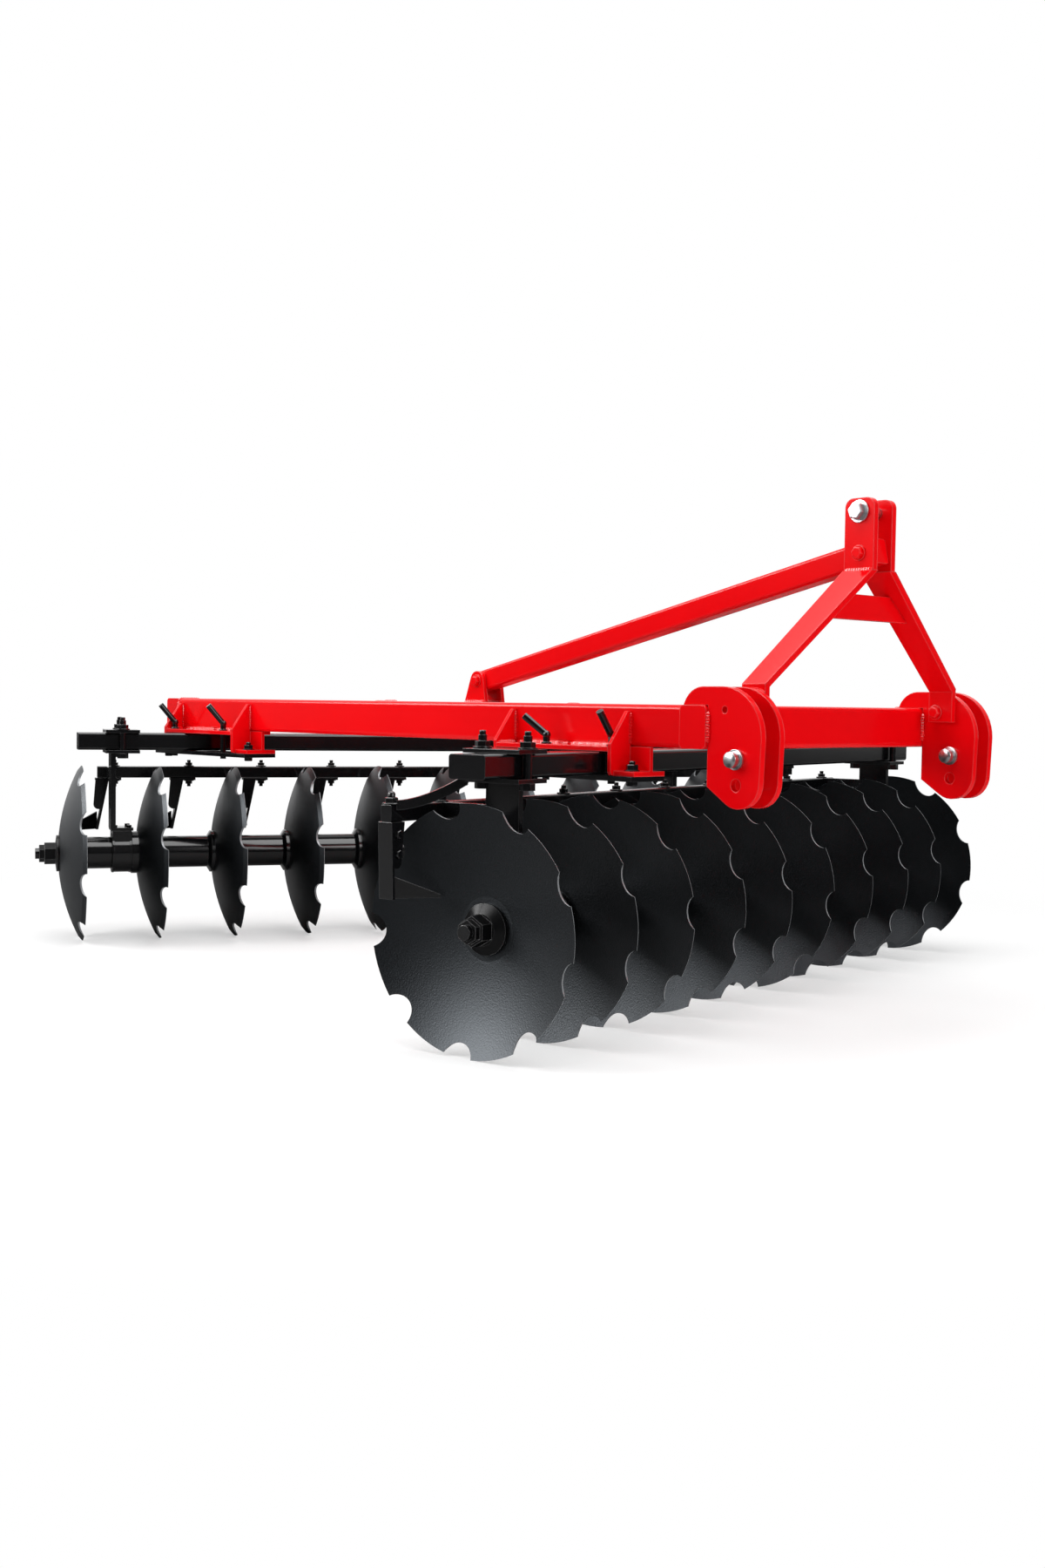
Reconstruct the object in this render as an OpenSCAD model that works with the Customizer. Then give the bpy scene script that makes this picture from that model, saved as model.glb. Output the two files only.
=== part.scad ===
// Mounted offset disc harrow: a box-tube frame on a three-point hitch, and two gangs of notched discs.
// Millimetres. X to the right, Y forward, Z up. The origin is on the ground in the middle of the footprint.

/* [Discs] */
// Diameter of a disc over its rim
disc_d = 560; // [500:10:620]
// Thickness of the disc plate
disc_t = 5; // [4:0.5:8]
// Radius of the ball that a disc's concave face follows
dish_r = 600; // [540:10:800]
// Discs on each gang
disc_count = 10; // [8:1:11]
// Distance from disc to disc along a gang
disc_pitch = 244; // [234:2:260]
// Notches round a disc
notch_count = 9; // [6:1:10]
// Radius of a notch
notch_r = 40; // [25:1:46]
// How far a notch's centre lies outside the rim
notch_out = 10; // [0:1:20]
// Angle of the first notch above the forward direction
notch_phase = 24; // [0:1:40]

/* [Gangs] */
// Angle of the front gang to the frame's cross direction
front_angle = 11.9; // [8:0.1:16]
// Angle of the rear gang to the frame's cross direction
rear_angle = 23.2; // [18:0.1:26]
// Distance of the front gang's axis behind the front beam's face, on the hitch's middle plane
front_gang_back = 442; // [420:1:470]
// Distance of the rear gang's axis in front of the rear beam's face, on the hitch's middle plane
rear_gang_ahead = 398; // [380:1:430]
// From that crossing to the rim of the front gang's right-hand disc
front_gang_right = 961; // [900:1:1000]
// From that crossing to the rim of the rear gang's right-hand disc
rear_gang_right = 851; // [800:1:900]
// Side of the square gang shaft
shaft_w = 38; // [30:1:44]
// Outside diameter of a spool's tube
spool_d = 102; // [92:1:110]
// Diameter of a spool's end flange
spool_flange_d = 136; // [120:1:150]
// Thickness of a spool's end flange
spool_flange_t = 12; // [8:1:14]
// Diameter of a bearing journal
journal_d = 80; // [70:1:88]
// Length of a bearing housing
bearing_l = 60; // [40:1:64]
// Outside diameter of a bearing housing
housing_d = 126; // [112:1:140]
// Diameter of the washer at a gang's end
end_washer_d = 116; // [90:1:130]

/* [Gang beams] */
// Width of a gang beam across the gang
gang_beam_w = 100; // [80:1:110]
// Height of a gang beam
gang_beam_h = 55; // [45:1:70]
// Wall of a gang beam
gang_beam_wall = 5; // [3:0.5:8]
// Height of a gang beam's underside above the discs' tops
beam_over_disc = 52; // [45:1:80]
// How far a gang beam reaches past the outer discs' rims
beam_overhang = 14; // [0:1:40]
// Length of a clamp plate along the gang
clamp_l = 105; // [80:1:120]
// Thickness of a clamp plate
clamp_t = 10; // [6:1:16]
// Diameter of a clamp bolt
clamp_bolt_d = 20; // [14:1:24]
// Thickness of a hanger's web
hanger_t = 16; // [12:1:30]
// Width of a hanger's web across the gang
hanger_w = 92; // [70:1:110]

/* [Scrapers] */
// Distance of the scraper bar behind the gang's axis
scraper_back = 185; // [180:1:220]
// Height of the scraper bar
scraper_bar_h = 38; // [30:1:50]
// Depth of the scraper bar from front to back
scraper_bar_t = 30; // [24:1:34]
// Wall of the scraper bar
scraper_bar_wall = 4; // [3:0.5:5]
// How far the scraper bar's middle lies below the discs' tops
scraper_drop = 28; // [10:1:32]
// Distance of a scraper's bolt from its disc's rim
scraper_out = 116; // [100:1:124]
// Distance of the end scraper's bolt from the end disc's rim
end_scraper_out = 46; // [40:1:60]
// Diameter of a scraper's bolt
scraper_bolt_d = 12; // [10:1:16]
// Gap between a blade's tip and its disc
blade_gap = 8; // [7:0.5:14]
// Height of a blade at its strap
blade_h = 58; // [40:1:70]
// Thickness of a blade
blade_t = 5; // [4:0.5:8]

/* [Frame] */
// Distance of the hitch's middle plane to the right of the footprint's middle
hitch_x = 165; // [140:1:190]
// Front face of the front beam
front_y = 1238; // [1200:1:1260]
// Length of the frame over its front and rear beams
frame_l = 2436; // [2420:1:2500]
// Width of the frame over its side beams
frame_w = 884; // [840:1:900]
// Width of a frame tube
tube_w = 80; // [70:1:90]
// Height of a frame tube
tube_h = 100; // [90:1:110]
// Wall of a frame tube
tube_wall = 6; // [4:0.5:8]
// Corner radius of a frame tube
tube_r = 12; // [8:1:15]
// How far the front beam's ends stand out past the side beams
stub_out = 18; // [14:1:30]
// Middle of the cross beam that carries the stay
cross_y = -62; // [-120:1:-20]

/* [Gang brackets] */
// Thickness of a bracket flange
flange_t = 12; // [8:1:16]
// How far a flange stands out past its side beam
flange_out = 66; // [58:1:80]
// Length of the window between two drop legs
window_l = 400; // [380:1:420]
// Thickness of a drop leg's plate
leg_t = 10; // [8:1:14]
// Length of a drop leg's foot
foot_l = 75; // [60:1:90]
// Thickness of a foot and of a keeper plate
keeper_t = 12; // [8:1:16]
// Distance of the pins from the side beam's outer face
pin_off = 39; // [30:1:44]
// Diameter of a locking pin
lock_pin_d = 18; // [14:1:22]
// Distance between the front gang's locking pins
front_pin_span = 229; // [200:1:240]
// Distance between the rear gang's locking pins
rear_pin_span = 300; // [230:1:320]
// Diameter of a pivot pin
pivot_d = 30; // [24:1:36]

/* [Hitch] */
// Distance between the middles of the two hitch plate pairs
hitch_span = 825; // [800:1:840]
// Width of a hitch plate pair over its outer faces
pair_w = 80; // [76:1:90]
// Thickness of a hitch plate
plate_t = 16; // [12:1:18]
// Diameter of a lower hitch pin
lower_pin_d = 28; // [22:1:37]
// Distance of the lower hitch pins in front of the front beam
lower_pin_out = 85; // [80:1:95]
// Height of the top pin above the lower hitch pins
mast_h = 580; // [540:1:640]
// Thickness of the mast's flat bars
mast_t = 16; // [12:1:20]
// Distance of the mast's feet in front of the front beam
mast_out = 29; // [20:1:40]
// Width of the mast's flat bars at their feet
mast_foot_w = 68; // [60:1:80]
// Width of the mast's flat bars at the clevis plates
mast_w = 84; // [80:1:100]
// How far the mast's top leans forward of its feet
mast_lean = 26; // [0:1:40]
// Height of a clevis plate
clevis_h = 170; // [150:1:190]
// Gap between the top clevis plates
clevis_gap = 54; // [52:1:60]
// Diameter of the top pin
top_pin_d = 25; // [22:1:32]
// Height of the stay tube
stay_h = 60; // [50:1:64]

/* [Hidden] */
$fn = 64;
// Clearances: turning fits, pieces that bolt up, seats on the discs, beams that slide in their brackets
run_gap = 0.06;
bolt_gap = 0.5;
seat_gap = 0.3;
slide_gap = 1;
pin_gap = 5;
// Overshoot of a cut through a face
cut = 2;

// Heights, from the ground up
axle_z = disc_d / 2;
beam_bot = disc_d + beam_over_disc;
beam_top = beam_bot + gang_beam_h;
keeper_top = beam_bot - slide_gap;
flange_bot = beam_top + slide_gap;
frame_bot = flange_bot + flange_t;
frame_top = frame_bot + tube_h;

// Frame, measured from the hitch's middle plane
half_w = frame_w / 2;
rear_y = front_y - frame_l;
side_y0 = rear_y + tube_w;
side_l = frame_l - 2 * tube_w;
pin_x = half_w + pin_off;

// A disc's ball centre lies on its concave side; the rim plane is at 0
dish_c = sqrt(dish_r * dish_r - disc_d * disc_d / 4);
dish_depth = dish_r - dish_c;
flat_r = spool_flange_d / 2 + 4;
flat_hollow_x = hollow_x(flat_r);
flat_back_x = back_x(flat_r);
spool_bore_d = (shaft_w + 2 * bolt_gap) * sqrt(2) + 2;
shaft_end_d = shaft_w - 4;
gang_l = (disc_count - 1) * disc_pitch;
// The discs go on the square shaft by quarter turns, so that their notches are staggered
quarter_turns = [0, 0, 180, 0, 270, 90, 270, 270, 270, 0];

// Along a gang seen with its concave sides to the right, the rim of its first disc
first_x = [front_gang_right, gang_l - rear_gang_right];
gang_y = [front_y - front_gang_back, rear_y + rear_gang_ahead];
gang_turn = [front_angle, -rear_angle];
bearing_bays = [0, disc_count - 2];
// The rear gang's hanger webs stand off the middle of their bearings, towards the right
web_shift = [0, -28];
scraper_up = disc_d / 2 - scraper_drop;
// Height of the housing's flat top, where the hanger's foot sits
housing_pad = housing_d / 2 + 10;
// Bolts beside the gang beam, and the clamp plates that take them
bolt_y = gang_beam_w / 2 + clamp_bolt_d / 2 + 3;
clamp_w = 2 * bolt_y + clamp_bolt_d + 10;
// Ends of the gang shafts
nut_across = 60;
nut_l = 34;
lock_nut_l = 16;
nut_sunk = 1;
hollow_washer_t = 22;
back_washer_t = 12;
shaft_tip = 12;

// Where the gang beams cross the pins' lines, and the pins beside them
cross_right = [for (g = [0, 1]) gang_y[g] + pin_x * tan(gang_turn[g])];
cross_left = [for (g = [0, 1]) gang_y[g] - pin_x * tan(gang_turn[g])];
pin_reach = [for (g = [0, 1]) (gang_beam_w / 2 + pin_gap + lock_pin_d / 2) / cos(gang_turn[g])];
front_pins = [cross_right[0] + pin_reach[0] - front_pin_span, cross_right[0] + pin_reach[0]];
rear_pins = [cross_right[1] - pin_reach[1], cross_right[1] - pin_reach[1] + rear_pin_span];
// Rear end of each bracket's window: front right, rear right, front left, rear left
leg_gap = lock_pin_d / 2 + 4;
window_y = [
    front_pins[1] + leg_gap - window_l,
    rear_pins[0] - leg_gap,
    cross_left[0] - window_l / 2,
    cross_left[1] - window_l / 2
];
window_side = [1, 1, -1, -1];
locked_brackets = [0, 1];
lock_pins = [front_pins, rear_pins];
keeper_in = 50;

// Hitch and mast
pair_x = hitch_span / 2;
lower_pin_z = frame_bot - 20;
spare_hole_z = lower_pin_z - 57;
lower_pin_y = front_y + lower_pin_out;
top_pin_z = lower_pin_z + mast_h;
mast_y0 = front_y + mast_out;
pin_hole_gap = 0.3;
clevis_top = top_pin_z + 32;
clevis_z0 = clevis_top - clevis_h;
clevis_x = (clevis_gap + mast_t) / 2;
clevis_y0 = mast_y0 + mast_lean;
top_pin_y = clevis_y0 + mast_w / 2;
tab_x = pair_x - pair_w / 2 - mast_t / 2;
tab_bot = frame_top - 0.35 * tube_h;
tab_bolt_y = mast_y0 + 0.3 * mast_foot_w;
tab_bolt_z = frame_top - 0.1 * tube_h;
bend_z = frame_top + 0.46 * tube_h;
leg_a = atan2(clevis_z0 - bend_z, tab_x - clevis_x);
stay_w = clevis_gap - 2 * seat_gap;
stay_bolt_z = clevis_z0 + 0.24 * clevis_h;
lug_bolt_z = frame_top + 0.64 * tube_h;
stay_a = atan2(stay_bolt_z - lug_bolt_z, top_pin_y - cross_y);
stay_l = norm([stay_bolt_z - lug_bolt_z, top_pin_y - cross_y]);

RED = [0.86, 0.01, 0.03];
BLACK = [0.04, 0.04, 0.045];
DISC = [0.08, 0.085, 0.095];
ZINC = [0.75, 0.76, 0.78];

// Places on the machine

module at_hitch() {
    translate([hitch_x, 0, 0]) children();
}

// Gang 0 is the front one; gang 1 is mirrored, because its concave sides face left
module at_gang(g) {
    translate([hitch_x, gang_y[g], axle_z])
        rotate([0, 0, gang_turn[g]])
            if (g == 0) {
                children();
            } else {
                mirror([1, 0, 0]) children();
            }
}

function disc_x(g, i) = first_x[g] - i * disc_pitch;
function bearing_x(g, b) = disc_x(g, b) - disc_pitch / 2;
function gang_mid(g) = first_x[g] - gang_l / 2;
function scraper_x(i) = i == 0 ? end_scraper_out : scraper_out;
// The pivot lies under the left side beam, on the beam's own line
function pivot_along(g) = (g == 0 ? -1 : 1) * pin_x / cos(gang_turn[g]);

// Points of an arc about a centre, from angle a0 to a1
function arc(c, r, a0, a1, n = 8) = [
    for (k = [0:n]) let (a = a0 + (a1 - a0) * k / n) c + r * [cos(a), sin(a)]
];

// Shapes that several pieces share

module rounded_rect(w, h, r) {
    square([w - 2 * r, h], center = true);
    square([w, h - 2 * r], center = true);
    for (x = [-1, 1], y = [-1, 1])
        translate([x * (w / 2 - r), y * (h / 2 - r)]) circle(r = r);
}

// Box tube along Z, its bore open at both ends or stopped by end caps
module box_tube(w, h, l, wall, r, cap = 0) {
    difference() {
        linear_extrude(l) rounded_rect(w, h, r);
        translate([0, 0, cap > 0 ? cap : -cut])
            linear_extrude(cap > 0 ? l - 2 * cap : l + 2 * cut)
                rounded_rect(w - 2 * wall, h - 2 * wall, r - wall / 2);
    }
}

module rod_x(r, x0, x1) {
    translate([x0, 0, 0]) rotate([0, 90, 0]) cylinder(r = r, h = x1 - x0);
}

module hex_x(across, x0, x1) {
    translate([x0, 0, 0]) rotate([0, 90, 0]) cylinder(d = across / cos(30), h = x1 - x0, $fn = 6);
}

// A ring or stepped body turned about X, from [x, radius] points
module turned_x(points) {
    rotate([0, 90, 0]) rotate_extrude() polygon([for (p = points) [p[1], p[0]]]);
}

// Frame

module cross_tube(y, half) {
    at_hitch()
        translate([-half, y, frame_bot + tube_h / 2])
            rotate([0, 90, 0]) rotate([0, 0, 90])
                box_tube(tube_w, tube_h, 2 * half, tube_wall, tube_r, tube_wall);
}

module front_beam() {
    color(RED) cross_tube(front_y - tube_w / 2, half_w + stub_out);
}

module rear_beam() {
    color(RED) cross_tube(rear_y + tube_w / 2, half_w);
}

module cross_beam() {
    color(RED) cross_tube(cross_y, half_w - tube_w);
}

module side_beam(side) {
    color(RED)
        at_hitch()
            translate([side * (half_w - tube_w / 2), side_y0, frame_bot + tube_h / 2])
                rotate([-90, 0, 0])
                    box_tube(tube_w, tube_h, side_l, tube_wall, tube_r);
}

// Hitch

// Outline of a hitch plate in Y and Z: a hook over the beam's top, a round belly and a round lower end
module hitch_plate_outline() {
    hook_r = 62;
    belly_r = 115;
    foot_r = 62;
    difference() {
        hull() {
            translate([front_y - 16, frame_top + 42 - hook_r]) circle(r = hook_r, $fn = 32);
            translate([front_y + 41, frame_top + 42 - belly_r]) circle(r = belly_r, $fn = 48);
            translate([lower_pin_y + 5, spare_hole_z + 9]) circle(r = foot_r, $fn = 32);
        }
        // The front beam and the space under it
        translate([front_y - 2 * tube_h, frame_top - 3 * tube_h]) square([2 * tube_h, 3 * tube_h]);
    }
}

module hitch_plates(side) {
    tab_hole_r = 8;
    color(RED)
        at_hitch()
            for (end = [-1, 1])
                difference() {
                    translate([side * pair_x + end * (pair_w - plate_t) / 2 - plate_t / 2, 0, 0])
                        rotate([90, 0, 90]) linear_extrude(plate_t) hitch_plate_outline();
                    translate([side * pair_x, lower_pin_y, lower_pin_z])
                        rod_x(lower_pin_d / 2 + pin_hole_gap, -pair_w, pair_w);
                    translate([side * pair_x, lower_pin_y, spare_hole_z])
                        rod_x(lower_pin_d / 2 + pin_hole_gap, -pair_w, pair_w);
                    translate([side * pair_x, tab_bolt_y, tab_bolt_z])
                        rod_x(tab_hole_r, -pair_w, pair_w);
                }
}

module lower_pins() {
    head_l = 16;
    collar_t = 6;
    tail = 26;
    half = pair_w / 2;
    color(ZINC)
        at_hitch()
            for (side = [-1, 1])
                translate([side * pair_x, lower_pin_y, lower_pin_z])
                    rotate([0, 0, side > 0 ? 0 : 180]) {
                        rod_x(lower_pin_d / 2, -half - tail, half + collar_t);
                        rod_x(lower_pin_d / 2 + 9, half, half + collar_t);
                        rod_x(lower_pin_d / 2 + 4, half + collar_t, half + collar_t + head_l);
                    }
}

// A flat bar that widens upwards, bent from its upright tab to the slope that meets the clevis plate
module mast_leg(side) {
    h = mast_t / 2;
    slope = [-cos(leg_a), sin(leg_a)];
    square_off = [sin(leg_a), cos(leg_a)];
    bend = [tab_x, bend_z];
    // Along the slope, the mitre at the bend and the level cut under the clevis plate
    mitre = h * (1 - square_off[0]) / cos(leg_a);
    rise = clevis_z0 - bend_z;
    outer_top = (rise - h * square_off[1]) / slope[1];
    inner_top = (rise + h * square_off[1]) / slope[1];
    outline = [
        [tab_x + h, tab_bot],
        bend + h * square_off - mitre * slope,
        bend + h * square_off + outer_top * slope,
        bend - h * square_off + inner_top * slope,
        bend - h * square_off + mitre * slope,
        [tab_x - h, tab_bot]
    ];
    color(RED)
        at_hitch()
            intersection() {
                translate([0, clevis_y0 + 2 * mast_w, 0])
                    rotate([90, 0, 0])
                        linear_extrude(4 * mast_w) polygon([for (p = outline) [side * p[0], p[1]]]);
                translate([-pair_x, 0, 0])
                    rotate([90, 0, 90])
                        linear_extrude(hitch_span)
                            polygon([
                                [mast_y0, tab_bot - cut], [mast_y0 + mast_foot_w, tab_bot - cut],
                                [mast_y0 + mast_foot_w, bend_z], [clevis_y0 + mast_w, clevis_z0],
                                [clevis_y0 + mast_w, clevis_top], [clevis_y0, clevis_top],
                                [clevis_y0, clevis_z0], [mast_y0, bend_z]
                            ]);
            }
}

// Flat bar between the legs, its ends cut to their slope
module mast_crossbar() {
    bar_h = 60;
    bar_t = 16;
    // Part of the slope's height at which the bar's lower edge lies
    bar_at = 0.58;
    bar_z = bend_z + bar_at * (clevis_z0 - bend_z);
    bar_y = mast_y0 + mast_foot_w / 2 + (bar_at + 0.1) * (mast_lean + (mast_w - mast_foot_w) / 2);
    inner = [tab_x, bend_z] - mast_t / 2 * [sin(leg_a), cos(leg_a)];
    function leg_inner_x(z) = inner[0] - (z - inner[1]) / tan(leg_a) - 0.1;
    color(RED)
        at_hitch()
            translate([0, bar_y + bar_t / 2, 0])
                rotate([90, 0, 0])
                    linear_extrude(bar_t)
                        polygon([
                            [leg_inner_x(bar_z), bar_z], [leg_inner_x(bar_z + bar_h), bar_z + bar_h],
                            [-leg_inner_x(bar_z + bar_h), bar_z + bar_h], [-leg_inner_x(bar_z), bar_z]
                        ]);
}

module clevis_plates() {
    corner = 22;
    y1 = clevis_y0 + mast_w;
    color(RED)
        at_hitch()
            for (side = [-1, 1])
                difference() {
                    translate([side * clevis_x - mast_t / 2, 0, 0])
                        rotate([90, 0, 90])
                            linear_extrude(mast_t)
                                polygon(concat(
                                    [[clevis_y0, clevis_z0], [y1, clevis_z0]],
                                    arc([y1 - corner, clevis_top - corner], corner, 0, 90),
                                    arc([clevis_y0 + corner, clevis_top - corner], corner, 90, 180)
                                ));
                    translate([0, top_pin_y, top_pin_z])
                        rod_x(top_pin_d / 2 + pin_hole_gap, -clevis_gap * 2, clevis_gap * 2);
                }
}

module top_pin() {
    head_l = 14;
    collar_t = 6;
    half = clevis_x + mast_t / 2;
    color(ZINC)
        at_hitch()
            translate([0, top_pin_y, top_pin_z]) {
                rod_x(top_pin_d / 2, -half - 30, half + collar_t);
                rod_x(top_pin_d / 2 + 9, half, half + collar_t);
                rod_x(top_pin_d / 2 + 3, half + collar_t, half + collar_t + head_l);
            }
}

module stay() {
    tail = 34;
    nose = 30;
    color(RED)
        at_hitch()
            translate([0, cross_y, lug_bolt_z])
                rotate([stay_a, 0, 0])
                    translate([0, -tail, 0])
                        rotate([-90, 0, 0])
                            box_tube(stay_w, stay_h, stay_l + tail + nose, 5, 8, 5);
}

module stay_lugs() {
    lug_t = 12;
    base = 112;
    top_r = 30;
    color(RED)
        at_hitch()
            for (side = [-1, 1])
                translate([side * (stay_w + lug_t + 2 * seat_gap) / 2 - lug_t / 2, 0, 0])
                    rotate([90, 0, 90])
                        linear_extrude(lug_t)
                            polygon(concat(
                                [[cross_y - base / 2, frame_top], [cross_y + tube_w / 2, frame_top]],
                                arc([cross_y, lug_bolt_z], top_r, 0, 160)
                            ));
}

// Gang brackets

module bracket_flanges() {
    color(RED)
        at_hitch()
            for (b = [0:3])
                difference() {
                    side = window_side[b];
                    translate([
                        side > 0 ? half_w - tube_w : -half_w - flange_out, window_y[b], flange_bot
                    ]) cube([tube_w + flange_out, window_l, flange_t]);
                    if (side > 0) {
                        for (y = lock_pins[b])
                            translate([pin_x, y, flange_bot - cut])
                                cylinder(d = lock_pin_d + 2 * bolt_gap, h = flange_t + 2 * cut);
                    } else {
                        translate([-pin_x, cross_left[b - 2], flange_bot - cut])
                            cylinder(d = pivot_d + 2 * pin_hole_gap, h = flange_t + 2 * cut);
                    }
                }
}

// Drop leg: a gusset plate down past the flange, a foot plate and a back plate behind it
module drop_leg(y, end) {
    gusset_top = frame_top - tube_r - 4;
    corner = 12;
    y0 = end > 0 ? y : y - leg_t;
    foot_y = end > 0 ? y : y - foot_l;
    translate([0, y0 + leg_t, 0])
        rotate([90, 0, 0])
            linear_extrude(leg_t)
                polygon(concat(
                    [[0, frame_bot], [0, gusset_top], [10, gusset_top], [flange_out, frame_bot + 6]],
                    arc([flange_out - corner, keeper_top + corner], corner, 0, -90),
                    [[-keeper_in, keeper_top], [-keeper_in, frame_bot]]
                ));
    difference() {
        translate([-keeper_in, foot_y, keeper_top]) cube([keeper_in + flange_out - corner, foot_l, keeper_t]);
        translate([pin_off - 10, y + end * foot_l * 0.6, keeper_top - cut])
            cylinder(r = 9, h = keeper_t + 2 * cut);
    }
    translate([-leg_t, foot_y, keeper_top]) cube([leg_t, foot_l, frame_bot - keeper_top]);
}

// Only the right-hand brackets have legs and keepers; on the left the pivot pins carry the beams
module drop_legs() {
    color(RED)
        at_hitch()
            for (y = [for (b = locked_brackets) window_y[b]])
                translate([half_w, 0, 0]) {
                    drop_leg(y, -1);
                    drop_leg(y + window_l, 1);
                }
}

module keeper_plates() {
    plate_w = keeper_in + flange_out - 4;
    color(BLACK)
        at_hitch()
            for (b = locked_brackets)
                difference() {
                    translate([half_w - keeper_in, window_y[b] - foot_l, keeper_top - keeper_t])
                        cube([plate_w, window_l + 2 * foot_l, keeper_t]);
                    for (y = lock_pins[b])
                        translate([pin_x, y, keeper_top - keeper_t - cut])
                            cylinder(d = lock_pin_d + 2 * bolt_gap, h = keeper_t + 2 * cut);
                }
}

// Locking pin: upright through flange and keeper, with a handle bent outwards
module locking_pin(lean, turn) {
    handle_l = 74;
    below = 8;
    collar_t = 4;
    bend_up = 22;
    bend_over = 3;
    z0 = keeper_top - keeper_t - below;
    translate([0, 0, z0]) cylinder(d = lock_pin_d, h = frame_bot + bend_up - z0);
    translate([0, 0, frame_bot]) cylinder(d = lock_pin_d + 8, h = collar_t);
    translate([0, 0, frame_bot + bend_up]) {
        sphere(d = lock_pin_d + bend_over);
        rotate([0, 0, turn]) rotate([0, lean, 0]) cylinder(d = lock_pin_d, h = handle_l);
    }
}

module locking_pins() {
    color(BLACK)
        at_hitch() {
            translate([pin_x, front_pins[0], 0]) locking_pin(52, -60);
            translate([pin_x, front_pins[1], 0]) locking_pin(35, 0);
            translate([pin_x, rear_pins[0], 0]) locking_pin(40, -20);
            translate([pin_x, rear_pins[1], 0]) locking_pin(40, -20);
        }
}

// Pivot pin: a headed bolt down through flange and gang beam, with a washer and a nut under the beam
module pivot_pins() {
    head_t = 16;
    washer_t = 8;
    nut_t = 18;
    tip = 6;
    z0 = keeper_top - washer_t - nut_t - tip;
    color(BLACK)
        at_hitch()
            for (g = [0, 1])
                translate([-pin_x, cross_left[g], 0]) {
                    translate([0, 0, z0]) cylinder(d = pivot_d, h = frame_bot - z0);
                    translate([0, 0, frame_bot]) cylinder(d = pivot_d + 16, h = head_t);
                    translate([0, 0, keeper_top - washer_t]) cylinder(d = 2 * pivot_d, h = washer_t);
                    translate([0, 0, z0 + tip]) cylinder(d = 1.7 * pivot_d, h = nut_t, $fn = 6);
                }
}

// Gang carriers, seen from the gang's axis

// Box tube with closed ends, bored for its pivot pin
module gang_beam(g) {
    l = gang_l + 2 * beam_overhang;
    color(BLACK)
        at_gang(g)
            difference() {
                translate([gang_mid(g) - l / 2, 0, beam_bot + gang_beam_h / 2 - axle_z])
                    rotate([0, 90, 0]) rotate([0, 0, 90])
                        box_tube(gang_beam_w, gang_beam_h, l, gang_beam_wall, 8, gang_beam_wall);
                translate([pivot_along(g), 0, beam_bot - axle_z - cut])
                    cylinder(d = pivot_d + 2 * run_gap, h = gang_beam_h + 2 * cut);
            }
}

module bolt_holes(z, t) {
    for (y = [-1, 1])
        translate([0, y * bolt_y, z - cut]) cylinder(d = clamp_bolt_d + 2 * bolt_gap, h = t + 2 * cut);
}

module clamps(g) {
    z = beam_top - axle_z;
    color(BLACK)
        at_gang(g)
            for (b = bearing_bays)
                translate([bearing_x(g, b), 0, 0])
                    difference() {
                        translate([-clamp_l / 2, -clamp_w / 2, z]) cube([clamp_l, clamp_w, clamp_t]);
                        bolt_holes(z, clamp_t);
                    }
}

module clamp_bolts(g) {
    nut_h = 16;
    stud = 14;
    top = beam_top - axle_z + clamp_t;
    bottom = beam_bot - axle_z - clamp_t;
    color(BLACK)
        at_gang(g)
            for (b = bearing_bays, y = [-1, 1])
                translate([bearing_x(g, b), y * bolt_y, 0]) {
                    translate([0, 0, bottom - nut_h])
                        cylinder(d = clamp_bolt_d, h = top + nut_h + stud - bottom + nut_h);
                    translate([0, 0, bottom - nut_h]) cylinder(d = clamp_bolt_d * 1.75, h = nut_h, $fn = 6);
                    translate([0, 0, top]) cylinder(d = clamp_bolt_d * 1.75, h = nut_h, $fn = 6);
                }
}

module hangers(g) {
    foot_w = 70;
    foot_t = 10;
    top = beam_bot - axle_z - clamp_t;
    color(BLACK)
        at_gang(g)
            for (b = bearing_bays)
                translate([bearing_x(g, b), 0, 0]) {
                    difference() {
                        translate([-clamp_l / 2, -clamp_w / 2, top]) cube([clamp_l, clamp_w, clamp_t]);
                        bolt_holes(top, clamp_t);
                    }
                    translate([web_shift[g] - hanger_t / 2, -hanger_w / 2, housing_pad + foot_t / 2])
                        cube([hanger_t, hanger_w, top - housing_pad - foot_t / 2 + clamp_t / 2]);
                    translate([-foot_w / 2, -hanger_w / 2, housing_pad]) cube([foot_w, hanger_w, foot_t]);
                }
}

module bearings(g) {
    pad_w = 100;
    color(BLACK)
        at_gang(g)
            for (b = bearing_bays)
                translate([bearing_x(g, b), 0, 0])
                    difference() {
                        union() {
                            rod_x(housing_d / 2, -bearing_l / 2, bearing_l / 2);
                            translate([-bearing_l / 2, -pad_w / 2, 0]) cube([bearing_l, pad_w, housing_pad]);
                        }
                        rod_x(journal_d / 2 + run_gap, -bearing_l, bearing_l);
                    }
}

// Plates from the hanger webs back to the scraper bar
module scraper_brackets(g) {
    bracket_t = 12;
    reach = scraper_back - scraper_bar_t / 2 - hanger_w / 2;
    color(BLACK)
        at_gang(g)
            for (b = bearing_bays)
                translate([bearing_x(g, b) + web_shift[g], -hanger_w / 2 - reach, scraper_up])
                    translate([-bracket_t / 2, 0, -scraper_bar_h / 2])
                        cube([bracket_t, reach, scraper_bar_h]);
}

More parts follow.
